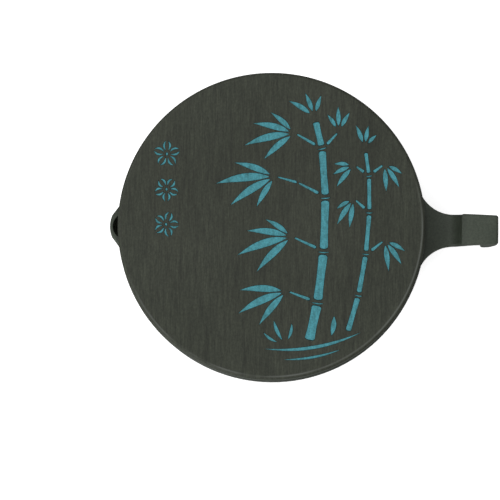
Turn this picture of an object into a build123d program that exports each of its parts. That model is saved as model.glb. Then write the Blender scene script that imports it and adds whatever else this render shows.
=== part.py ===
from build123d import *

import os
from math import cos, radians, sin, tan

# A round lidded inkstone, carved from two pieces of dark slate.
# The body is a shallow bowl with a crescent ink pool, a pouring lip on -X and a hooked handle on +X.
# The lid is a loose disc whose locating ring drops into the bowl's mouth.
# Sizes are in millimetres, drafts, slopes and tapers in degrees.
# The origin is on the bowl's axis, in the plane that the foot stands on.

# Body wall, upright above a rounded foot
BODY_RADIUS = 48.5
BODY_HEIGHT = 19.0
RIM_BEVEL = 0.7
FOOT_INSET = 2.8
FOOT_BEVEL = 0.8
FOOT_CURVE_HEIGHT = 7.0

# Hollow under the body, which leaves a foot ring
FOOT_RING_WIDTH = 6.5
FOOT_HOLLOW_DEPTH = 1.2

# Bowl, with an ink pool beside the pouring lip
RIM_WIDTH = 7.0
BOWL_DRAFT = 4.0
BOWL_MOUTH_BEVEL = 0.6
POOL_DEPTH = 13.0
POOL_WIDTH = 16.5
POOL_CORNER_BEVEL = 2.0

# Grinding table, a round hill set towards the handle, with its top sloping down to the pool
TABLE_OFFSET = 9.0
TABLE_DEPTH = 7.2
TABLE_SLOPE = 1.5
TABLE_BANK_DRAFT = 35.0
TABLE_EDGE_BEVEL = 0.8

# Pouring lip, measured out from the wall and down from the rim
LIP_LENGTH = 2.6
LIP_NOSE_WIDTH = 7.0
LIP_NOSE_CROWN = 0.7
LIP_NOSE_ROUNDING = 3.2
LIP_NOSE_HEIGHT = 4.5
LIP_FLANK_ANGLE = 37.0
LIP_ROOT_BLEND = 5.0
LIP_CHIN_ANGLE = 34.0
LIP_CHIN_ROUNDING = 4.0

# Channel through the rim to the lip
CHANNEL_WIDTH = 8.4
CHANNEL_END_WALL = 0.9
CHANNEL_DEPTH = 5.5
CHANNEL_DRAFT = 14.0
CHANNEL_FLOOR_ROUNDING = 1.2

# Handle from above, measured out from the wall
HANDLE_LENGTH = 22.9
HANDLE_WIDTH = 10.7
HANDLE_TAPER = 1.7
HANDLE_ROOT_BLEND = 11.5
HANDLE_EDGE_ROUNDING = 0.7

# Neck of the handle, measured down from the rim and back from the thumb plate
NECK_DROP = 6.4
NECK_THICKNESS = 5.0
NECK_TURN_SETBACK = 1.3
NECK_TURN_ROUNDING = 5.0

# Thumb plate at the handle's end, with a concave riser up to it from the neck
PLATE_LENGTH = 11.6
PLATE_DROP = 0.2
PLATE_FALL = 1.0
PLATE_THICKNESS = 5.8
PLATE_CROWN_RADIUS = 30.0
PLATE_EDGE_ROUNDING = 0.4
PLATE_END_ROUNDING = 1.2
RISER_ROUNDING = 4.6

# Hook that curls down from the thumb plate and stops short of the table top
HOOK_THICKNESS = 4.8
HOOK_THROAT_WIDTH = 2.8
HOOK_THROAT_ROUNDING = 1.5
HOOK_BEND_HEIGHT = 10.0
HOOK_BEND_RADIUS = 20.0
HOOK_CURL = 1.9
HOOK_TIP_THICKNESS = 3.4
HOOK_TIP_ROUNDING = 1.6
HOOK_CLEARANCE = 1.2

# Lid, with a locating ring that drops into the bowl's mouth
LID_SETBACK = 0.3
LID_THICKNESS = 8.0
LID_TOP_EASING = 1.0
LID_UNDER_BEVEL = 0.6
LID_RING_CLEARANCE = 0.5
LID_RING_DEPTH = 3.0
LID_RING_WIDTH = 5.0
LID_RING_BEVEL = 0.8
LID_HOLLOW_DEPTH = 1.5

# How far a piece or a cut runs on past its boundary, so that the two join cleanly
OVERRUN = 3.4

# How far the roots of the lip and the handle sink into the wall, so that they blend into it
ROOT_SINK = 0.2

# Places that follow from the sizes above
BOWL_MOUTH_RADIUS = BODY_RADIUS - RIM_WIDTH
POOL_FLOOR = BODY_HEIGHT - POOL_DEPTH
LIP_TIP = BODY_RADIUS + LIP_LENGTH
HANDLE_TIP = BODY_RADIUS + HANDLE_LENGTH
JOIN_RADIUS = BODY_RADIUS - OVERRUN


def turned(outline):
    """A solid of revolution about the bowl's axis, from a closed outline of radius and height."""
    return revolve(Plane.XZ * make_face(outline), Axis.Z)


def filleted_outline(corners):
    """A closed outline from a dictionary of its corners and the rounding of each."""
    return FilletPolyline(*corners.keys(), radius=list(corners.values()), close=True)


def across(outline):
    """An outline seen from the side, carried right across the body."""
    return extrude(Plane.XZ * make_face(outline), BODY_RADIUS, both=True)


def long_edges(blank):
    """The edges that run along a lip or handle, past the wall of the body."""
    edges = blank.edges().filter_by(Axis.Y, reverse=True)
    return edges.filter_by_position(Axis.X, BODY_RADIUS, HANDLE_TIP)


def drum():
    """The plain turned body: foot ring, rounded foot, upright wall and bevelled rim."""
    foot_radius = BODY_RADIUS - FOOT_INSET
    ring_outer = foot_radius - FOOT_BEVEL
    ring_inner = ring_outer - FOOT_RING_WIDTH
    foot_edge = (foot_radius, FOOT_BEVEL)
    wall_start = (BODY_RADIUS, FOOT_CURVE_HEIGHT)
    foot = Polyline(
        (0, FOOT_HOLLOW_DEPTH),
        (ring_inner - FOOT_HOLLOW_DEPTH, FOOT_HOLLOW_DEPTH),
        (ring_inner, 0),
        (ring_outer, 0),
        foot_edge,
    )
    flank = TangentArc(wall_start, foot_edge, tangent=(0, -1))
    wall = Polyline(
        wall_start,
        (BODY_RADIUS, BODY_HEIGHT - RIM_BEVEL),
        (BODY_RADIUS - RIM_BEVEL, BODY_HEIGHT),
        (0, BODY_HEIGHT),
        (0, FOOT_HOLLOW_DEPTH),
    )
    return turned([foot, flank, wall])


def lip_plan():
    """The lip from above, widening from its nose into concave blends with the wall."""
    nose = LIP_NOSE_CROWN - LIP_TIP
    nose_y = LIP_NOSE_WIDTH / 2
    root_y = nose_y - (nose + JOIN_RADIUS) / tan(radians(LIP_FLANK_ANGLE))
    sides = Polyline((nose, nose_y), (-JOIN_RADIUS, root_y), (-JOIN_RADIUS, -root_y), (nose, -nose_y))
    crown = ThreePointArc((nose, nose_y), (-LIP_TIP, 0), (nose, -nose_y))
    plan = Circle(BODY_RADIUS - ROOT_SINK) + make_face([sides, crown])
    plan = fillet(plan.vertices().group_by(Axis.X)[1], LIP_ROOT_BLEND)
    return fillet(plan.vertices().group_by(Axis.X)[0], LIP_NOSE_ROUNDING)


def lip_side():
    """The lip from the side: an upright nose over a chin that runs back into the wall."""
    chin = BODY_HEIGHT - LIP_NOSE_HEIGHT
    chin_end = chin - (LIP_TIP - JOIN_RADIUS) / tan(radians(LIP_CHIN_ANGLE))
    corners = {
        (-JOIN_RADIUS, BODY_HEIGHT): 0,
        (-LIP_TIP, BODY_HEIGHT): 0,
        (-LIP_TIP, chin): LIP_CHIN_ROUNDING,
        (-JOIN_RADIUS, chin_end): 0,
    }
    return filleted_outline(corners)


def lip():
    """The pouring lip, cut to its two outlines, with its top edge bevelled like the rim."""
    blank = extrude(lip_plan(), BODY_HEIGHT) & across(lip_side())
    top_edges = blank.edges().group_by(Axis.Z)[-1].filter_by(Axis.Y, reverse=True)
    return chamfer(top_edges, RIM_BEVEL)


def handle_plan():
    """The handle from above: flared at its root and narrowing a little towards its end."""
    end = HANDLE_TIP + OVERRUN
    root_y = HANDLE_WIDTH / 2
    end_y = root_y - (end - JOIN_RADIUS) * tan(radians(HANDLE_TAPER))
    outline = Polyline(
        (JOIN_RADIUS, root_y),
        (end, end_y),
        (end, -end_y),
        (JOIN_RADIUS, -root_y),
        close=True,
    )
    plan = Circle(BODY_RADIUS - ROOT_SINK) + make_face(outline)
    return fillet(plan.vertices().group_by(Axis.X)[0], HANDLE_ROOT_BLEND)


def handle_side():
    """The handle from the side: neck, concave riser, crowned thumb plate and a hook curling under."""
    neck = BODY_HEIGHT - NECK_DROP
    neck_under = neck - NECK_THICKNESS
    riser = HANDLE_TIP - PLATE_LENGTH
    plate = BODY_HEIGHT - PLATE_DROP
    plate_under = plate - PLATE_THICKNESS
    hook_inside = HANDLE_TIP - HOOK_THICKNESS
    hook_tip = HANDLE_TIP - HOOK_CURL
    corners = {
        (JOIN_RADIUS, neck): 0,
        (riser, neck): RISER_ROUNDING,
        (riser, plate): PLATE_EDGE_ROUNDING,
        (riser + PLATE_LENGTH / 2, plate): PLATE_CROWN_RADIUS,
        (HANDLE_TIP, plate - PLATE_FALL): PLATE_END_ROUNDING,
        (HANDLE_TIP, HOOK_BEND_HEIGHT): HOOK_BEND_RADIUS,
        (hook_tip, HOOK_CLEARANCE): HOOK_TIP_ROUNDING,
        (hook_tip - HOOK_TIP_THICKNESS, HOOK_CLEARANCE): HOOK_TIP_ROUNDING,
        (hook_inside, plate_under): HOOK_THROAT_ROUNDING,
        (hook_inside - HOOK_THROAT_WIDTH, plate_under): HOOK_THROAT_ROUNDING,
        (riser - NECK_TURN_SETBACK, neck_under): NECK_TURN_ROUNDING,
        (JOIN_RADIUS, neck_under): 0,
    }
    return filleted_outline(corners)


def handle():
    """The hooked handle, cut to its two outlines, with its long edges eased."""
    blank = extrude(handle_plan(), BODY_HEIGHT) & across(handle_side())
    return fillet(long_edges(blank), HANDLE_EDGE_ROUNDING)


def bowl_hollow():
    """The hollow turned out of the drum, from the bevelled mouth down to the floor of the pool."""
    throat = BODY_HEIGHT - BOWL_MOUTH_BEVEL
    above = BODY_HEIGHT + OVERRUN
    corner = POOL_FLOOR + POOL_CORNER_BEVEL
    corner_radius = BOWL_MOUTH_RADIUS - (throat - corner) * tan(radians(BOWL_DRAFT))
    outline = Polyline(
        (0, POOL_FLOOR),
        (corner_radius - POOL_CORNER_BEVEL, POOL_FLOOR),
        (corner_radius, corner),
        (BOWL_MOUTH_RADIUS, throat),
        (BOWL_MOUTH_RADIUS + BOWL_MOUTH_BEVEL + OVERRUN, above),
        (0, above),
        close=True,
    )
    return turned(outline)


def grinding_table():
    """The table left standing in the bowl: a cone with sloping banks, cut off by a tilted plane."""
    radius = BOWL_MOUTH_RADIUS - POOL_WIDTH + TABLE_OFFSET
    height = POOL_DEPTH - TABLE_DEPTH + OVERRUN
    bank = height * tan(radians(TABLE_BANK_DRAFT))
    top = Plane(
        origin=(TABLE_OFFSET, 0, BODY_HEIGHT - TABLE_DEPTH),
        z_dir=(-sin(radians(TABLE_SLOPE)), 0, cos(radians(TABLE_SLOPE))),
    )
    base = Align.CENTER, Align.CENTER, Align.MIN
    hill = Cone(radius + bank, radius - bank, 2 * height, align=base)
    table = split(Pos(TABLE_OFFSET, 0, POOL_FLOOR - OVERRUN) * hill, bisect_by=top, keep=Keep.BOTTOM)
    return chamfer(table.edges().sort_by(Axis.Z)[-1], TABLE_EDGE_BEVEL)


def channel():
    """The round-ended channel cut through the rim, tapering down to a rounded floor."""
    end = LIP_TIP - CHANNEL_END_WALL
    length = end - BOWL_MOUTH_RADIUS + CHANNEL_WIDTH
    slot = Pos(length / 2 - end, 0, BODY_HEIGHT) * SlotOverall(length, CHANNEL_WIDTH)
    cut = extrude(slot, -CHANNEL_DEPTH, taper=CHANNEL_DRAFT)
    cut = fillet(cut.edges().group_by(Axis.Z)[0], CHANNEL_FLOOR_ROUNDING)
    return cut + extrude(slot, OVERRUN)


def body():
    """The inkstone itself: drum, lip and handle in one stone, hollowed for ink."""
    stone = drum() + lip() + handle()
    return stone - (bowl_hollow() - grinding_table()) - channel()


def lid():
    """The lid: a disc, its top edge eased in two bevels, with a hollow locating ring under it."""
    radius = BODY_RADIUS - LID_SETBACK
    top = BODY_HEIGHT + LID_THICKNESS
    easing = LID_TOP_EASING * (1 - cos(radians(45)))
    ring = BOWL_MOUTH_RADIUS - LID_RING_CLEARANCE
    ring_inner = ring - LID_RING_WIDTH
    ring_under = BODY_HEIGHT - LID_RING_DEPTH
    ceiling = ring_under + LID_HOLLOW_DEPTH
    outline = Polyline(
        (0, top),
        (radius - LID_TOP_EASING, top),
        (radius - easing, top - easing),
        (radius, top - LID_TOP_EASING),
        (radius, BODY_HEIGHT + LID_UNDER_BEVEL),
        (radius - LID_UNDER_BEVEL, BODY_HEIGHT),
        (ring, BODY_HEIGHT),
        (ring, ring_under + LID_RING_BEVEL),
        (ring - LID_RING_BEVEL, ring_under),
        (ring_inner, ring_under),
        (ring_inner - LID_HOLLOW_DEPTH, ceiling),
        (0, ceiling),
        close=True,
    )
    return turned(outline)


os.makedirs("parts", exist_ok=True)
for name, piece in {"inkstone_body": body(), "lid": lid()}.items():
    export_step(piece, f"parts/{name}.step")
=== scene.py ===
"""Dresses a lidded inkstone of dark slate: honed body, brushed lid, painted carving and studio stage.

Lengths are in metres, and in millimetres where the carving's comments say so.
+X runs along the handle and +Z up through the lid.
"""

import math

import bpy
from bpy.props import FloatProperty, FloatVectorProperty, IntProperty, PointerProperty
from mathutils import Matrix, Vector


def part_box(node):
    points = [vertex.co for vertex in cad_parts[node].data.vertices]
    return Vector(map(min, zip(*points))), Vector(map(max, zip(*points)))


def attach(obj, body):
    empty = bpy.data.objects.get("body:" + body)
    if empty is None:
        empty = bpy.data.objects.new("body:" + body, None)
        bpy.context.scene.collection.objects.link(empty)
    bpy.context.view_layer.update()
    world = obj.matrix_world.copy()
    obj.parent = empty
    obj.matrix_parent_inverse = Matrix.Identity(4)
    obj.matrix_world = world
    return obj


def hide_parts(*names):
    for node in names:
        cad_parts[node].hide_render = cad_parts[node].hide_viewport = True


bl_info = {
    "name": "Lidded Inkstone",
    "version": (1, 0, 0),
    "blender": (4, 5, 0),
    "location": "View3D > Sidebar > Inkstone",
    "description": "Dresses a lidded inkstone with its stone, its carved lid and a studio stage",
    "category": "Object",
}

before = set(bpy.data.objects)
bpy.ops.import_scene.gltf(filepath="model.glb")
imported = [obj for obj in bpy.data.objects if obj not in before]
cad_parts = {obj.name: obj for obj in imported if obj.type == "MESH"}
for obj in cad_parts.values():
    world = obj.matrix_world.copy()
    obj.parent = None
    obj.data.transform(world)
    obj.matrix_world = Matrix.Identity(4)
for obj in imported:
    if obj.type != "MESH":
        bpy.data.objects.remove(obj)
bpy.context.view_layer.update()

MM = 0.001
BODY = "inkstone_body"
LID = "lid"
BODY_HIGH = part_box(BODY)[1]
LID_LOW, LID_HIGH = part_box(LID)

# Measures of the two stones, from the frame
BODY_RADIUS = BODY_HIGH.y
LID_RADIUS = LID_HIGH.x
LID_SEAT = BODY_HIGH.z
LID_TOP = LID_HIGH.z
LID_RING_UNDER = LID_LOW.z


# Sizes and colours that a user would change


class InkstoneLidSettings(bpy.types.PropertyGroup):
    """Sizes of the lid that the frame doesn't give"""

    ring_radius: FloatProperty(
        name="Ring radius",
        description="Outer radius of the locating ring under the lid",
        default=41.0 * MM,
        unit="LENGTH",
    )
    ring_width: FloatProperty(
        name="Ring width",
        description="Width of the locating ring's foot",
        default=5.0 * MM,
        unit="LENGTH",
    )
    hollow_depth: FloatProperty(
        name="Hollow depth",
        description="Depth of the hollow inside the locating ring",
        default=1.5 * MM,
        unit="LENGTH",
    )
    top_rounding: FloatProperty(
        name="Top rounding",
        description="Radius of the eased edge round the top",
        default=1.0 * MM,
        unit="LENGTH",
    )
    under_rounding: FloatProperty(
        name="Under rounding",
        description="Radius of the eased edge where the lid meets the body",
        default=0.6 * MM,
        unit="LENGTH",
    )
    ring_rounding: FloatProperty(
        name="Ring rounding",
        description="Radius of the ring's lower edges",
        default=0.8 * MM,
        unit="LENGTH",
    )
    segments: IntProperty(
        name="Segments",
        description="Straight runs round the lid's edge",
        default=288,
    )


class InkstoneCarvingSettings(bpy.types.PropertyGroup):
    """Sizes of the carved strokes and their paint"""

    depth: FloatProperty(
        name="Depth",
        description="Depth of the carved strokes",
        default=0.4 * MM,
        unit="LENGTH",
    )
    paint_sink: FloatProperty(
        name="Paint sink",
        description="How far the paint lies below the lid's top",
        default=0.12 * MM,
        unit="LENGTH",
    )
    paint_gap: FloatProperty(
        name="Paint gap",
        description="Bare line between the paint and the wall of its stroke",
        default=0.1 * MM,
        unit="LENGTH",
    )
    stroke_points: IntProperty(
        name="Stroke points",
        description="Points round each carved stroke",
        default=36,
    )


class InkstoneStoneSettings(bpy.types.PropertyGroup):
    """Colours of the stone and the paint, and sizes of the brushing"""

    body_dark: FloatVectorProperty(
        name="Body dark",
        description="Darker grain of the honed body",
        default=(0.0354, 0.0437, 0.0318),
        size=3,
        subtype="COLOR",
    )
    body_light: FloatVectorProperty(
        name="Body light",
        description="Lighter grain of the honed body",
        default=(0.0531, 0.0652, 0.0473),
        size=3,
        subtype="COLOR",
    )
    lid_dark: FloatVectorProperty(
        name="Lid dark",
        description="Darker streaks of the brushed lid",
        default=(0.0194, 0.0220, 0.0157),
        size=3,
        subtype="COLOR",
    )
    lid_light: FloatVectorProperty(
        name="Lid light",
        description="Lighter streaks of the brushed lid",
        default=(0.0408, 0.0459, 0.0328),
        size=3,
        subtype="COLOR",
    )
    # A paler edge colour: rubbed stone and a painted highlight on the lid's eased edge
    wear_and_highlight: FloatVectorProperty(
        name="Worn edge",
        description="Stone along edges that hands have rubbed",
        default=(0.098, 0.105, 0.094),
        size=3,
        subtype="COLOR",
    )
    paint: FloatVectorProperty(
        name="Paint",
        description="Teal paint in the carving",
        default=(0.055, 0.250, 0.295),
        size=3,
        subtype="COLOR",
    )
    paint_thin: FloatVectorProperty(
        name="Thin paint",
        description="Teal paint where it is thin and the stone shows through",
        default=(0.030, 0.137, 0.154),
        size=3,
        subtype="COLOR",
    )
    streak_pitch: FloatProperty(
        name="Streak pitch",
        description="Usual distance from one brushed streak to the next",
        default=0.7 * MM,
        unit="LENGTH",
    )
    streak_length: FloatProperty(
        name="Streak length",
        description="Usual length of a brushed streak",
        default=10.0 * MM,
        unit="LENGTH",
    )


class InkstoneStageSettings(bpy.types.PropertyGroup):
    """Where the camera stands, and the size of the floor"""

    azimuth: FloatProperty(
        name="Azimuth",
        description="Direction of the camera round the object, from -Y towards +X",
        default=math.radians(12.0),
        subtype="ANGLE",
    )
    elevation: FloatProperty(
        name="Elevation",
        description="Height of the camera above the horizon",
        default=math.radians(86.2),
        subtype="ANGLE",
    )
    roll: FloatProperty(
        name="Roll",
        description="Turn of the camera about its own axis",
        default=math.radians(-11.48),
        subtype="ANGLE",
    )
    distance: FloatProperty(
        name="Distance",
        description="Distance from the camera to the foot of the inkstone",
        default=1.2,
        unit="LENGTH",
    )
    pixels_per_metre: FloatProperty(
        name="Pixels per metre",
        description="Scale of the picture at the floor",
        default=3124.0,
    )
    origin_pixel: FloatVectorProperty(
        name="Origin pixel",
        description="Where the bowl's axis meets the floor in the picture",
        default=(272.6, 231.4),
        size=2,
    )
    picture_size: IntProperty(
        name="Picture size",
        description="Width and height of the picture in pixels",
        default=500,
    )
    floor_size: FloatProperty(
        name="Floor size",
        description="Width of the pale floor",
        default=12.0,
        unit="LENGTH",
    )


# Small helpers for meshes


def deselect_all():
    """Clears the selection of objects."""
    bpy.ops.object.select_all(action="DESELECT")


def only(piece):
    """Makes one object the active and only selected one."""
    deselect_all()
    piece.select_set(True)
    bpy.context.view_layer.objects.active = piece


def settle(piece):
    """Puts the object at the origin, with its place in its mesh."""
    only(piece)
    bpy.ops.object.transform_apply(location=True, rotation=True, scale=True)


def join(pieces, name):
    """Joins meshes into one object of the given name."""
    only(pieces[0])
    for piece in pieces:
        piece.select_set(True)
    bpy.ops.object.join()
    joined = bpy.context.object
    joined.name = name
    joined.data.name = name
    return joined


def edit(piece, kind):
    """Opens a piece in edit mode with nothing selected."""
    only(piece)
    bpy.ops.object.mode_set(mode="EDIT")
    bpy.ops.mesh.select_mode(type=kind)
    bpy.ops.mesh.select_all(action="DESELECT")
    bpy.ops.object.mode_set(mode="OBJECT")


def pick(elements, test):
    """Selects the faces or edges that pass a test and goes back to edit mode."""
    for element in elements:
        element.select = test(element)
    if not any(element.select for element in elements):
        raise RuntimeError("no face or edge passes the test, so the piece can't be shaped")
    bpy.ops.object.mode_set(mode="EDIT")


def done(piece):
    """Ends the editing of a piece."""
    bpy.ops.object.mode_set(mode="OBJECT")
    piece.data.update()


def is_ring_edge(mesh, radius, height):
    """A test for the edges of the circle at a radius and height."""
    close = 0.02 * MM

    def test(edge):
        ends = [mesh.vertices[i].co for i in edge.vertices]
        return all(abs(p.xy.length - radius) < close and abs(p.z - height) < close for p in ends)

    return test


def bevel_ring(piece, radius, height, offset, segments):
    """Rounds the circular edge at a radius and height."""
    edit(piece, "EDGE")
    pick(piece.data.edges, is_ring_edge(piece.data, radius, height))
    bpy.ops.mesh.bevel(offset=offset, segments=segments, profile=0.5, affect="EDGES")
    done(piece)


def smooth(piece, degrees=32.0):
    """Shades a piece smoothly and keeps its sharp edges."""
    only(piece)
    bpy.ops.object.shade_smooth_by_angle(angle=math.radians(degrees))


# Small helpers for materials


def new_material(name):
    """A material with a Principled shader, and the shader."""
    material = bpy.data.materials.new(name)
    material.use_nodes = True
    return material, material.node_tree.nodes["Principled BSDF"]


def add(material, kind, **values):
    """Adds a node and sets its own values."""
    node = material.node_tree.nodes.new(kind)
    for key, value in values.items():
        setattr(node, key, value)
    return node


def link(material, source, target):
    """Links one socket to another."""
    material.node_tree.links.new(source, target)


def grey(value):
    """The same value three times, for a colour or a scale."""
    return (value, value, value)


def stretched_noise(material, scale, detail=4.0, roughness=0.55):
    """Noise on Object coordinates, with a scale of its own along each axis."""
    place = add(material, "ShaderNodeTexCoord")
    mapping = add(material, "ShaderNodeMapping")
    mapping.inputs["Scale"].default_value = scale
    noise = add(material, "ShaderNodeTexNoise")
    noise.inputs["Scale"].default_value = 1.0
    noise.inputs["Detail"].default_value = detail
    noise.inputs["Roughness"].default_value = roughness
    link(material, place.outputs["Object"], mapping.inputs["Vector"])
    link(material, mapping.outputs["Vector"], noise.inputs["Vector"])
    return noise.outputs["Fac"]


def ramp(material, source, low, high, low_at=0.35, high_at=0.65):
    """Turns a noise or a mask into a run from one colour to another."""
    node = add(material, "ShaderNodeValToRGB")
    first, last = node.color_ramp.elements
    first.position = low_at
    first.color = (*low, 1.0)
    last.position = high_at
    last.color = (*high, 1.0)
    link(material, source, node.inputs["Fac"])
    return node.outputs["Color"]


def blend(material, factor, first, second, mode="MIX"):
    """Mixes two colours by a factor, which is a number or a socket."""
    node = add(material, "ShaderNodeMix", data_type="RGBA", blend_type=mode)
    for key, value in (("Factor", factor), ("A", first), ("B", second)):
        put(material, value, node.inputs[key])
    return node.outputs["Result"]


def put(material, value, socket):
    """Links a socket or writes a plain value."""
    if isinstance(value, bpy.types.NodeSocket):
        link(material, value, socket)
    else:
        socket.default_value = value


def spread(material, source, low_in, high_in, low_out, high_out):
    """Maps a value from one range to another."""
    node = add(material, "ShaderNodeMapRange")
    node.inputs["From Min"].default_value = low_in
    node.inputs["From Max"].default_value = high_in
    node.inputs["To Min"].default_value = low_out
    node.inputs["To Max"].default_value = high_out
    link(material, source, node.inputs["Value"])
    return node.outputs["Result"]


def multiply(material, colour, *layers):
    """Multiplies a colour by others, one after another."""
    for layer in layers:
        colour = blend(material, 1.0, colour, layer, "MULTIPLY")
    return colour


def tint(material, mask, colour):
    """White that turns to a colour where a mask is 1."""
    return ramp(material, mask, WHITE, colour, 0.0, 1.0)


def roughen(material, shader, source, low, high):
    """Lets the roughness follow a noise."""
    link(material, spread(material, source, 0.3, 0.7, low, high), shader.inputs["Roughness"])


def bump(material, shader, height, strength, distance):
    """Raises fine relief from a noise."""
    node = add(material, "ShaderNodeBump")
    node.inputs["Strength"].default_value = strength
    node.inputs["Distance"].default_value = distance
    link(material, height, node.inputs["Height"])
    link(material, node.outputs["Normal"], shader.inputs["Normal"])


def at_value(material, source, middle, fade):
    """1 where a value is at the middle of a band, fading out over a width on both sides."""
    away = add(material, "ShaderNodeMath", operation="SUBTRACT")
    away.inputs[1].default_value = middle
    size = add(material, "ShaderNodeMath", operation="ABSOLUTE")
    link(material, source, away.inputs[0])
    link(material, away.outputs["Value"], size.inputs[0])
    return spread(material, size.outputs["Value"], 0.0, fade, 1.0, 0.0)


def rim_mask(material, radius, fade):
    """1 at a distance from the bowl's axis, fading out over a width on both sides."""
    place = add(material, "ShaderNodeTexCoord")
    flat = add(material, "ShaderNodeVectorMath", operation="MULTIPLY")
    flat.inputs[1].default_value = (1.0, 1.0, 0.0)
    length = add(material, "ShaderNodeVectorMath", operation="LENGTH")
    link(material, place.outputs["Object"], flat.inputs[0])
    link(material, flat.outputs["Vector"], length.inputs[0])
    return at_value(material, length.outputs["Value"], radius, fade)


def near_mask(material, middle, reach, fade):
    """1 round a point as far as a distance, fading out beyond it."""
    place = add(material, "ShaderNodeTexCoord")
    away = add(material, "ShaderNodeVectorMath", operation="DISTANCE")
    away.inputs[1].default_value = middle
    link(material, place.outputs["Object"], away.inputs[0])
    return spread(material, away.outputs["Value"], reach, reach + fade, 1.0, 0.0)


def reach_along(material, heading):
    """The distance from the bowl's axis along a heading."""
    place = add(material, "ShaderNodeTexCoord")
    reach = add(material, "ShaderNodeVectorMath", operation="DOT_PRODUCT")
    reach.inputs[1].default_value = heading
    link(material, place.outputs["Object"], reach.inputs[0])
    return reach.outputs["Value"]


def combine(material, operation, first, second):
    """Makes one value of two by a named operation."""
    node = add(material, "ShaderNodeMath", operation=operation)
    link(material, first, node.inputs[0])
    link(material, second, node.inputs[1])
    return node.outputs["Value"]


# Materials

WHITE = (1.0, 1.0, 1.0)
GRAIN_SCALE = (1500.0, 1500.0, 1500.0)

# The body is painted darker on its wall and at the handle's riser, as painted shade, and painted
# paler in the channel, as painted light
WALL_FADE = 0.9 * MM
RISER_HEADING = (1.0, 0.0, 0.0)
RISER_AT = 59.0 * MM
RISER_FADE = 2.6 * MM
CHANNEL_MIDDLE = (-45.5 * MM, 0.0, 14.5 * MM)
CHANNEL_REACH = 3.6 * MM
CHANNEL_FADE = 0.9 * MM

# The lid's edge is eased over this width, inward and down
LID_EDGE = 1.0 * MM

# A paler line runs along it on the near side, most of all beside the handle: rubbed stone with a
# painted highlight on the eased edge
EDGE_LINE_FADE = 0.4 * MM
EDGE_LINE_HEADING = (0.34, -0.94, 0.0)
EDGE_LINE_FULL_AT = 14.0 * MM
HANDLE_SIDE_HEADING = (0.97, -0.26, 0.0)
HANDLE_SIDE_FROM = 37.0 * MM
HANDLE_SIDE_FULL_AT = 46.0 * MM

# The floor is darker for the light that it throws back than for the camera
FLOOR_THROWN = 0.35
FLOOR_SEEN = 0.8
FLOOR_GLOW = 0.7


def honed_slate(stone):
    """The body's smooth slate: a fine grain under faint clouds, with painted shade on its wall and at
    the handle's riser and painted light in the channel.
    """
    material, shader = new_material("honed_slate")
    grain = stretched_noise(material, GRAIN_SCALE, detail=5.0, roughness=0.6)
    clouds = stretched_noise(material, (70.0, 70.0, 90.0), detail=3.0)
    colour = ramp(material, grain, stone.body_dark, stone.body_light)
    shade = ramp(material, clouds, (0.82, 0.84, 0.82), (1.12, 1.1, 1.12))
    wall = rim_mask(material, BODY_RADIUS, WALL_FADE)
    channel = near_mask(material, CHANNEL_MIDDLE, CHANNEL_REACH, CHANNEL_FADE)
    riser = at_value(material, reach_along(material, RISER_HEADING), RISER_AT, RISER_FADE)
    # Painted shade: the stone darkens round the body's wall
    painted_wall_shade = tint(material, wall, grey(0.58))
    # Painted light: the stone is made 2.5 times paler in the dark pouring channel
    painted_channel_light = tint(material, channel, (2.5, 2.35, 2.2))
    # Painted shade: the stone darkens across the handle's riser
    painted_riser_shade = tint(material, riser, grey(0.68))
    colour = multiply(material, colour, shade, painted_wall_shade, painted_channel_light, painted_riser_shade)
    link(material, colour, shader.inputs["Base Color"])
    roughen(material, shader, grain, 0.46, 0.6)
    shader.inputs["Specular IOR Level"].default_value = 0.3
    bump(material, shader, grain, 0.25, 0.04 * MM)
    return material


def wear_and_highlight_mask(material, clouds):
    """1 along the lid's edge where the stone is rubbed and a highlight is painted: in patches, and
    all along beside the handle.
    """
    edge = rim_mask(material, LID_RADIUS - LID_EDGE, EDGE_LINE_FADE)
    patches = spread(material, clouds, 0.42, 0.6, 0.1, 0.9)
    near_side = reach_along(material, EDGE_LINE_HEADING)
    near_side_line = spread(material, near_side, 0.0, EDGE_LINE_FULL_AT, 0.0, 1.0)
    near_handle = reach_along(material, HANDLE_SIDE_HEADING)
    handle_side_line = spread(material, near_handle, HANDLE_SIDE_FROM, HANDLE_SIDE_FULL_AT, 0.0, 0.85)
    rubbed_and_lit = combine(material, "MAXIMUM", patches, handle_side_line)
    rubbed_and_lit_edge = combine(material, "MULTIPLY", edge, rubbed_and_lit)
    return combine(material, "MULTIPLY", rubbed_and_lit_edge, near_side_line)


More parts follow.
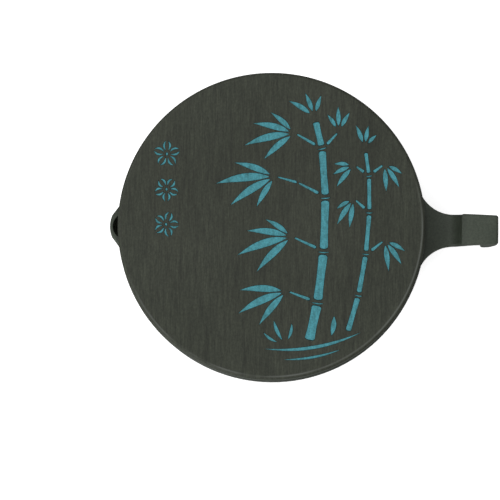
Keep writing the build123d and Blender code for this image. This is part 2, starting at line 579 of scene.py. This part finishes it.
def brushed_slate(stone):
    """The lid's top: fine streaks along Y left by the brushing, paler along its edge with wear and a
    painted highlight.
    """
    material, shader = new_material("brushed_slate")
    across = 1.0 / stone.streak_pitch
    along = 1.0 / stone.streak_length
    streaks = stretched_noise(material, (across, along, across), detail=5.0, roughness=0.7)
    thin = (across * 2.6, along * 2.5, across * 2.6)
    broad = (across * 0.5, along * 0.25, across * 0.5)
    hairs = stretched_noise(material, thin, detail=3.0, roughness=0.7)
    veins = stretched_noise(material, broad, detail=3.0)
    clouds = stretched_noise(material, (45.0, 30.0, 45.0), detail=3.0)
    specks = stretched_noise(material, (2100.0, 1300.0, 2100.0), detail=2.0)
    colour = ramp(material, streaks, stone.lid_dark, stone.lid_light, 0.3, 0.72)
    fine = ramp(material, hairs, grey(0.72), grey(1.24), 0.3, 0.7)
    lines = ramp(material, veins, grey(1.03), grey(0.85), 0.58, 0.72)
    shade = ramp(material, clouds, (0.9, 0.91, 0.89), grey(1.08))
    dots = ramp(material, specks, grey(0.8), grey(1.18), 0.3, 0.7)
    colour = multiply(material, colour, fine, lines, shade, dots)
    # Rubbed stone and a painted highlight along the lid's edge
    wear_and_highlight = wear_and_highlight_mask(material, clouds)
    colour = blend(material, wear_and_highlight, colour, (*stone.wear_and_highlight, 1.0))
    link(material, colour, shader.inputs["Base Color"])
    roughen(material, shader, streaks, 0.5, 0.66)
    shader.inputs["Specular IOR Level"].default_value = 0.22
    bump(material, shader, streaks, 0.3, 0.05 * MM)
    return material


def turned_slate(stone):
    """The lid's side and underside: level turning marks round a smooth grain."""
    material, shader = new_material("turned_slate")
    marks = stretched_noise(material, (25.0, 25.0, 1400.0), detail=4.0)
    grain = stretched_noise(material, GRAIN_SCALE, detail=4.0)
    colour = ramp(material, grain, stone.body_dark, stone.body_light)
    lines = ramp(material, marks, grey(0.62), grey(0.88))
    link(material, multiply(material, colour, lines), shader.inputs["Base Color"])
    roughen(material, shader, marks, 0.46, 0.6)
    shader.inputs["Specular IOR Level"].default_value = 0.4
    bump(material, shader, marks, 0.2, 0.04 * MM)
    return material


def cut_slate(stone):
    """The walls and floors of the carved strokes: rough and stained by the paint."""
    material, shader = new_material("cut_slate")
    stain = stretched_noise(material, grey(900.0), detail=4.0)
    dark = [0.5 * value for value in stone.lid_dark]
    stained = [0.6 * value for value in stone.paint_thin]
    link(material, ramp(material, stain, dark, stained), shader.inputs["Base Color"])
    shader.inputs["Roughness"].default_value = 0.8
    shader.inputs["Specular IOR Level"].default_value = 0.2
    bump(material, shader, stain, 0.4, 0.05 * MM)
    return material


def teal_paint(stone):
    """The paint in the carving: matt teal, thinner in places along the brushing."""
    material, shader = new_material("teal_paint")
    coats = stretched_noise(material, (900.0, 400.0, 900.0), detail=4.0, roughness=0.65)
    specks = stretched_noise(material, grey(2200.0), detail=2.0)
    colour = ramp(material, coats, stone.paint_thin, stone.paint, 0.28, 0.58)
    fine = ramp(material, specks, grey(0.82), grey(1.15))
    link(material, multiply(material, colour, fine), shader.inputs["Base Color"])
    shader.inputs["Roughness"].default_value = 0.62
    shader.inputs["Specular IOR Level"].default_value = 0.25
    bump(material, shader, coats, 0.35, 0.08 * MM)
    return material


def pale_floor():
    """A white floor that a camera sees as white and that keeps the inkstone's shadow."""
    material, shader = new_material("pale_floor")
    shader.inputs["Roughness"].default_value = 1.0
    shader.inputs["Specular IOR Level"].default_value = 0.0
    shader.inputs["Emission Color"].default_value = (*WHITE, 1.0)
    path = add(material, "ShaderNodeLightPath")
    seen = path.outputs["Is Camera Ray"]
    shade = blend(material, seen, (*grey(FLOOR_THROWN), 1.0), (*grey(FLOOR_SEEN), 1.0))
    glow = spread(material, seen, 0.0, 1.0, 0.0, FLOOR_GLOW)
    link(material, shade, shader.inputs["Base Color"])
    link(material, glow, shader.inputs["Emission Strength"])
    return material


# The shapes of carved strokes: the width at a place along the stroke, as a share of the widest


def pointed(along):
    """A blade that draws out to a point at both ends."""
    return math.sin(math.pi * along) ** 0.85


def leaf(along):
    """A bamboo leaf: slender at its root, full a third of the way along and drawn out to its tip."""
    return 4.43 * along**0.9 * (1.0 - along) ** 1.3


def trailing(along):
    """A twig: blunt where it springs, thinning to its end."""
    return min(1.0, 12.0 * along + 0.3) * (1.0 - 0.5 * along) * min(1.0, 12.0 * (1.0 - along) + 0.2)


def segment(along):
    """A length of cane: blunt at both ends, with a slight waist."""
    waist = 1.0 - 0.14 * math.sin(math.pi * along)
    return waist * min(1.0, 16.0 * along + 0.45, 16.0 * (1.0 - along) + 0.45)


class Stroke:
    """One carved stroke on the lid's top, in millimetres: its root, tip, width, bow and shape."""

    def __init__(self, root, tip, width, shape, bow=0.0):
        self.root = Vector(root)
        self.tip = Vector(tip)
        self.width = width
        self.shape = shape
        self.bow = bow

    def point(self, along, side, margin):
        """A place on the outline, drawn in by a margin at the sides and by twice that at the ends."""
        run = self.tip - self.root
        aside = Vector((-run.y, run.x)).normalized()
        inset = 2.0 * margin / run.length
        place = inset + (1.0 - 2.0 * inset) * along
        spine = self.root + run * place + aside * self.bow * 4.0 * place * (1.0 - place)
        half = (self.width / 2.0 - margin) * self.shape(along)
        return (spine + aside * side * half) * MM


def cut_outline(stroke, points, margin):
    """A flat face with the outline of a stroke, made from a circle on the lid's top."""
    deselect_all()
    bpy.ops.mesh.primitive_circle_add(vertices=points, radius=1.0, fill_type="NGON")
    face = bpy.context.object
    for vertex in face.data.vertices:
        turn = math.atan2(vertex.co.y, -vertex.co.x)
        along = (1.0 - math.cos(turn)) / 2.0
        at_tip = min(along, 1.0 - along) < 1e-6
        side = 0.0 if at_tip else math.copysign(1.0, turn)
        place = stroke.point(along, side, margin)
        vertex.co = (place.x, place.y, 0.0)
    return face


def slabs(strokes, name, points, margin, top, bottom):
    """Closed slabs with the outlines of the strokes, between two heights."""
    faces = [cut_outline(stroke, points, margin) for stroke in strokes]
    piece = join(faces, name)
    for vertex in piece.data.vertices:
        vertex.co.z = top
    edit(piece, "FACE")
    pick(piece.data.polygons, lambda face: True)
    sink = (0.0, 0.0, bottom - top)
    bpy.ops.mesh.extrude_region_move(TRANSFORM_OT_translate={"value": sink})
    bpy.ops.mesh.select_all(action="SELECT")
    bpy.ops.mesh.normals_make_consistent(inside=False)
    done(piece)
    return piece


# The bamboo spray, in millimetres from the lid's centre, with +Y up in the picture

# A mark in the gap between two lengths of cane
MARK_WIDTH = 0.55
MARK_BOW = -0.25
MARK_OVERHANG = 0.5

# How far from the end of its twig a leaf springs
FAN_OPENING = 1.5


def toward(heading):
    """The direction of a heading in degrees, turned from +X towards +Y."""
    return Vector((math.cos(math.radians(heading)), math.sin(math.radians(heading))))


def cane(joints, width, end_width, gap=0.75):
    """A cane of straight lengths between its joints, with a short bowed mark in each gap."""
    strokes = []
    count = len(joints) - 1
    for number in range(count):
        low = Vector(joints[number])
        high = Vector(joints[number + 1])
        heading = (high - low).normalized()
        aside = Vector((-heading.y, heading.x))
        size = width + (end_width - width) * number / count
        strokes.append(Stroke(low + heading * gap, high - heading * gap, size, segment))
        if number:
            reach = aside * (size / 2.0 + MARK_OVERHANG)
            strokes.append(Stroke(low + reach, low - reach, MARK_WIDTH, pointed, MARK_BOW))
    return strokes


def fan(centre, *leaves):
    """Leaves that spring from a twig's end, each of a heading and a length, arched as they hang."""
    strokes = []
    for heading, length in leaves:
        way = toward(heading)
        root = Vector(centre) + way * FAN_OPENING
        width = 0.9 + 0.105 * length
        bow = 0.05 * length * way.x
        strokes.append(Stroke(root, root + way * length, width, leaf, bow))
    return strokes


def twig(*points, width=1.15, gap=0.25):
    """A bent twig of short strokes that don't touch, each thinning to its end."""
    strokes = []
    for number, (start, end) in enumerate(zip(points, points[1:])):
        heading = (Vector(end) - Vector(start)).normalized()
        root = Vector(start) + heading * gap
        strokes.append(Stroke(root, Vector(end), width * 0.85**number, trailing))
    return strokes


def bamboo():
    """Two canes leaning together, with leaves hanging from their twigs and grass at their feet."""
    tall = [(12.0, -36.5), (14.6, -24.0), (16.4, -8.0), (16.8, 9.0), (15.6, 24.5), (13.4, 33.5)]
    slim = [(24.0, -33.5), (27.4, -21.5), (29.6, -8.5), (30.6, 4.5), (30.4, 16.0), (29.2, 24.0)]
    canes = [*cane(tall, 3.3, 2.0), *cane(slim, 1.9, 1.2)]
    twigs = [
        *twig((13.8, 25.4), (7.6, 28.9)),
        *twig((15.0, 10.2), (8.2, 13.6), (1.6, 15.4)),
        *twig((14.4, -6.9), (7.1, -3.6)),
        *twig((12.6, -23.1), (5.6, -20.6)),
        *twig((16.9, 25.5), (20.4, 29.3)),
        *twig((31.0, -7.7), (34.9, -4.6)),
        *twig((31.5, 16.9), (34.7, 19.3)),
        *twig((29.4, 5.5), (26.2, 8.3)),
        *twig((29.1, 16.9), (26.3, 18.9)),
    ]
    leaves = [
        *fan((6.9, 29.3), (195, 15.0), (222, 11.5), (168, 12.0), (140, 8.5)),
        *fan((0.9, 15.6), (188, 17.5), (214, 15.5), (162, 12.0), (240, 10.0)),
        *fan((6.4, -3.2), (200, 17.0), (226, 14.5), (174, 13.0), (148, 8.5)),
        *fan((4.9, -20.3), (206, 15.5), (232, 12.5), (180, 13.5)),
        *fan((20.8, 29.9), (60, 5.5), (92, 6.5), (125, 5.0)),
        *fan((35.4, -4.2), (-55, 8.0), (-28, 6.0), (-82, 8.5)),
        *fan((35.2, 19.8), (-30, 5.0), (-58, 7.5), (-86, 7.5)),
        *fan((25.7, 8.8), (238, 8.5), (212, 5.0), (262, 8.0)),
        *fan((25.7, 19.3), (205, 6.0), (232, 7.5), (178, 5.0)),
        *fan((13.1, 34.6), (72, 5.5), (112, 6.5), (150, 8.0)),
        *fan((28.9, 25.0), (80, 5.5), (112, 6.0), (45, 4.0)),
    ]
    ground = [
        Stroke((-2.0, -38.5), (28.5, -33.0), 1.2, pointed, -2.2),
        Stroke((4.0, -41.8), (22.0, -38.5), 0.9, pointed, -0.9),
        Stroke((3.8, -35.8), (1.0, -29.6), 1.3, pointed, 0.4),
        Stroke((5.4, -35.6), (6.6, -30.4), 1.1, pointed, -0.4),
        Stroke((2.2, -36.4), (-2.2, -33.4), 1.0, pointed, 0.4),
        Stroke((19.0, -34.3), (19.8, -28.0), 1.8, pointed, -0.3),
    ]
    return [*canes, *twigs, *leaves, *ground]


# A blossom: the bud, and the two arcs that draw each petal
PETALS = 5
BUD_WIDTH = 1.1
ARC_WIDTH = 0.8
ARC_BOW = 0.75
ARC_FROM = 0.95
ARC_ASIDE = 0.2


def blossom(centre, size, turn):
    """A small plain blossom in outline: five petals of two thin arcs each round a bud."""
    middle = Vector(centre)
    half_bud = Vector((BUD_WIDTH / 2.0, 0.0))
    strokes = [Stroke(middle - half_bud, middle + half_bud, BUD_WIDTH, pointed)]
    for number in range(PETALS):
        way = toward(turn + 360.0 / PETALS * number)
        aside = Vector((-way.y, way.x)) * ARC_ASIDE
        for side in (-1.0, 1.0):
            root = middle + way * ARC_FROM + aside * side
            tip = middle + way * size / 2.0 + aside * side
            strokes.append(Stroke(root, tip, ARC_WIDTH, pointed, ARC_BOW * side))
    return strokes


def blossoms():
    """Three plain blossoms in a column by the lid's left edge."""
    return [
        *blossom((-33.0, 22.3), 8.6, 90.0),
        *blossom((-33.0, 11.2), 7.8, 54.0),
        *blossom((-33.0, 0.2), 8.2, 72.0),
    ]


# Pieces

# Straight runs across the eased edges of the lid
TOP_STEPS = 7
UNDER_STEPS = 4

# The flat top keeps a plain margin, and is told by its area
TOP_MARGIN = 0.4 * MM
TOP_LEAST_AREA = 100 * MM * MM

# How far the tool that cuts the strokes stands above the top
CUTTER_OVER = 1.0 * MM


def turn_lid(settings):
    """The lid's stone before it is carved: disc, locating ring and hollow, with eased edges."""
    deselect_all()
    bpy.ops.mesh.primitive_cylinder_add(
        vertices=settings.segments,
        radius=LID_RADIUS,
        depth=LID_TOP - LID_SEAT,
        location=(0.0, 0.0, (LID_TOP + LID_SEAT) / 2.0),
    )
    lid = bpy.context.object
    lid.name = "carved_lid"
    settle(lid)
    edit(lid, "FACE")
    pick(lid.data.polygons, lambda face: face.normal.z < -0.9)
    bpy.ops.mesh.inset(thickness=LID_RADIUS - settings.ring_radius)
    drop = (0.0, 0.0, LID_RING_UNDER - LID_SEAT)
    bpy.ops.mesh.extrude_region_move(TRANSFORM_OT_translate={"value": drop})
    bpy.ops.mesh.inset(thickness=settings.ring_width)
    bpy.ops.mesh.inset(thickness=settings.hollow_depth)
    bpy.ops.transform.translate(value=(0.0, 0.0, settings.hollow_depth))
    done(lid)
    bevel_ring(lid, LID_RADIUS, LID_TOP, settings.top_rounding, TOP_STEPS)
    bevel_ring(lid, LID_RADIUS, LID_SEAT, settings.under_rounding, UNDER_STEPS)
    bevel_ring(lid, settings.ring_radius, LID_RING_UNDER, settings.ring_rounding, UNDER_STEPS)
    edit(lid, "FACE")
    pick(lid.data.polygons, lambda face: face.normal.z > 0.99 and face.area > TOP_LEAST_AREA)
    bpy.ops.mesh.inset(thickness=TOP_MARGIN)
    done(lid)
    return lid


def carve(lid, cutter):
    """Cuts the strokes out of the lid's top."""
    only(lid)
    cut = lid.modifiers.new("carving", "BOOLEAN")
    cut.operation = "DIFFERENCE"
    cut.solver = "EXACT"
    cut.use_self = True
    cut.material_mode = "TRANSFER"
    cut.object = cutter
    bpy.ops.object.modifier_apply(modifier=cut.name)
    bpy.data.objects.remove(cutter)


def assign_lid_finish(lid, side):
    """Gives the side and the underside their own finish, and leaves the top and the cuts alone."""
    slot = len(lid.data.materials)
    lid.data.materials.append(side)
    for face in lid.data.polygons:
        if face.center.z < LID_TOP - LID_EDGE:
            face.material_index = slot


class INKSTONE_OT_finish_body(bpy.types.Operator):
    """Gives the inkstone's body its honed slate"""

    bl_idname = "inkstone.finish_body"
    bl_label = "Finish Body"

    def execute(self, context):
        slate = honed_slate(context.scene.inkstone_stone)
        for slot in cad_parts[BODY].material_slots:
            slot.material = slate
        return {"FINISHED"}


class INKSTONE_OT_make_lid(bpy.types.Operator):
    """Turns the lid, carves the bamboo and the blossoms into it and fills them with paint"""

    bl_idname = "inkstone.make_lid"
    bl_label = "Make Lid"

    def execute(self, context):
        scene = context.scene
        carving = scene.inkstone_carving
        stone = scene.inkstone_stone
        strokes = [*bamboo(), *blossoms()]
        points = carving.stroke_points
        floor = LID_TOP - carving.depth
        lid = turn_lid(scene.inkstone_lid)
        lid.data.materials.append(brushed_slate(stone))
        cutter = slabs(strokes, "strokes", points, 0.0, LID_TOP + CUTTER_OVER, floor)
        cutter.data.materials.append(cut_slate(stone))
        carve(lid, cutter)
        assign_lid_finish(lid, turned_slate(stone))
        smooth(lid)
        gap = carving.paint_gap / MM
        paint_top = LID_TOP - carving.paint_sink
        paint = slabs(strokes, "lid_paint", points, gap, paint_top, floor)
        paint.data.materials.append(teal_paint(stone))
        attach(lid, "lid")
        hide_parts(LID)
        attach(paint, "lid")
        return {"FINISHED"}


# The stage: each lamp has a name, a place, a width and a power

LAMPS = (
    ("top_lamp", (0.0, 0.0, 1.2), 2.4, 8.0),
    ("key_lamp", (-0.7, 0.35, 1.1), 0.8, 7.0),
    ("edge_lamp", (-0.55, -0.85, 0.25), 0.4, 7.0),
)
FILL_STRENGTH = 0.42


def lay_floor(stage):
    """The pale floor under the inkstone."""
    deselect_all()
    bpy.ops.mesh.primitive_plane_add(size=stage.floor_size)
    floor = bpy.context.object
    floor.name = "floor"
    floor.data.materials.append(pale_floor())


def add_lamp(name, place, size, power):
    """A square soft lamp that looks at the middle of the inkstone."""
    deselect_all()
    bpy.ops.object.light_add(type="AREA", location=place)
    lamp = bpy.context.object
    lamp.name = name
    lamp.data.size = size
    lamp.data.energy = power
    aim = Vector((0.0, 0.0, LID_SEAT)) - Vector(place)
    lamp.rotation_euler = aim.to_track_quat("-Z", "Y").to_euler()


def fill_light():
    """Even white light from all round, which a camera sees as white."""
    world = bpy.data.worlds.new("studio")
    bpy.context.scene.world = world
    world.use_nodes = True
    background = world.node_tree.nodes["Background"]
    background.inputs["Color"].default_value = (*WHITE, 1.0)
    path = world.node_tree.nodes.new("ShaderNodeLightPath")
    strength = world.node_tree.nodes.new("ShaderNodeMapRange")
    strength.inputs["To Min"].default_value = FILL_STRENGTH
    strength.inputs["To Max"].default_value = 1.0
    world.node_tree.links.new(path.outputs["Is Camera Ray"], strength.inputs["Value"])
    world.node_tree.links.new(strength.outputs["Result"], background.inputs["Strength"])


def place_camera(stage):
    """A long lens, nearly overhead, aimed at what the middle of the picture shows."""
    back = Vector((
        math.sin(stage.azimuth) * math.cos(stage.elevation),
        -math.cos(stage.azimuth) * math.cos(stage.elevation),
        math.sin(stage.elevation),
    ))
    level = Vector((math.cos(stage.azimuth), math.sin(stage.azimuth), 0.0))
    right = math.cos(stage.roll) * level + math.sin(stage.roll) * back.cross(level)
    top = back.cross(right)
    place = back * stage.distance
    middle = stage.picture_size / 2.0
    aside = (middle - stage.origin_pixel[0]) / stage.pixels_per_metre
    above = (stage.origin_pixel[1] - middle) / stage.pixels_per_metre
    aim = (place - right * aside - top * above).normalized()
    right = (right - aim * right.dot(aim)).normalized()
    deselect_all()
    bpy.ops.object.camera_add()
    camera = bpy.context.object
    camera.name = "camera"
    shown = stage.picture_size / stage.pixels_per_metre
    camera.data.lens = camera.data.sensor_width * stage.distance / shown
    turned = Matrix((right, aim.cross(right), aim)).transposed().to_4x4()
    camera.matrix_world = Matrix.Translation(place) @ turned
    bpy.context.scene.camera = camera


class INKSTONE_OT_set_stage(bpy.types.Operator):
    """Lays the pale floor and sets the soft light and the camera"""

    bl_idname = "inkstone.set_stage"
    bl_label = "Set Stage"

    def execute(self, context):
        stage = context.scene.inkstone_stage
        lay_floor(stage)
        fill_light()
        for lamp in LAMPS:
            add_lamp(*lamp)
        place_camera(stage)
        context.scene.view_settings.view_transform = "Standard"
        return {"FINISHED"}


class INKSTONE_PT_panel(bpy.types.Panel):
    """Lists the steps that dress the inkstone"""

    bl_idname = "INKSTONE_PT_panel"
    bl_label = "Inkstone"
    bl_space_type = "VIEW_3D"
    bl_region_type = "UI"
    bl_category = "Inkstone"

    def draw(self, context):
        for operator in OPERATORS:
            self.layout.operator(operator.bl_idname)


SETTINGS = {
    "inkstone_lid": InkstoneLidSettings,
    "inkstone_carving": InkstoneCarvingSettings,
    "inkstone_stone": InkstoneStoneSettings,
    "inkstone_stage": InkstoneStageSettings,
}
OPERATORS = [INKSTONE_OT_finish_body, INKSTONE_OT_make_lid, INKSTONE_OT_set_stage]
CLASSES = [*SETTINGS.values(), *OPERATORS, INKSTONE_PT_panel]


def register():
    """Adds the classes and their settings to Blender."""
    for cls in CLASSES:
        bpy.utils.register_class(cls)
    for name, group in SETTINGS.items():
        setattr(bpy.types.Scene, name, PointerProperty(type=group))


def unregister():
    """Takes the settings and the classes out of Blender."""
    for name in SETTINGS:
        delattr(bpy.types.Scene, name)
    for cls in reversed(CLASSES):
        bpy.utils.unregister_class(cls)


def main():
    """Dresses the inkstone."""
    register()
    bpy.ops.inkstone.finish_body()
    bpy.ops.inkstone.make_lid()
    bpy.ops.inkstone.set_stage()


if __name__ == "__main__":
    main()
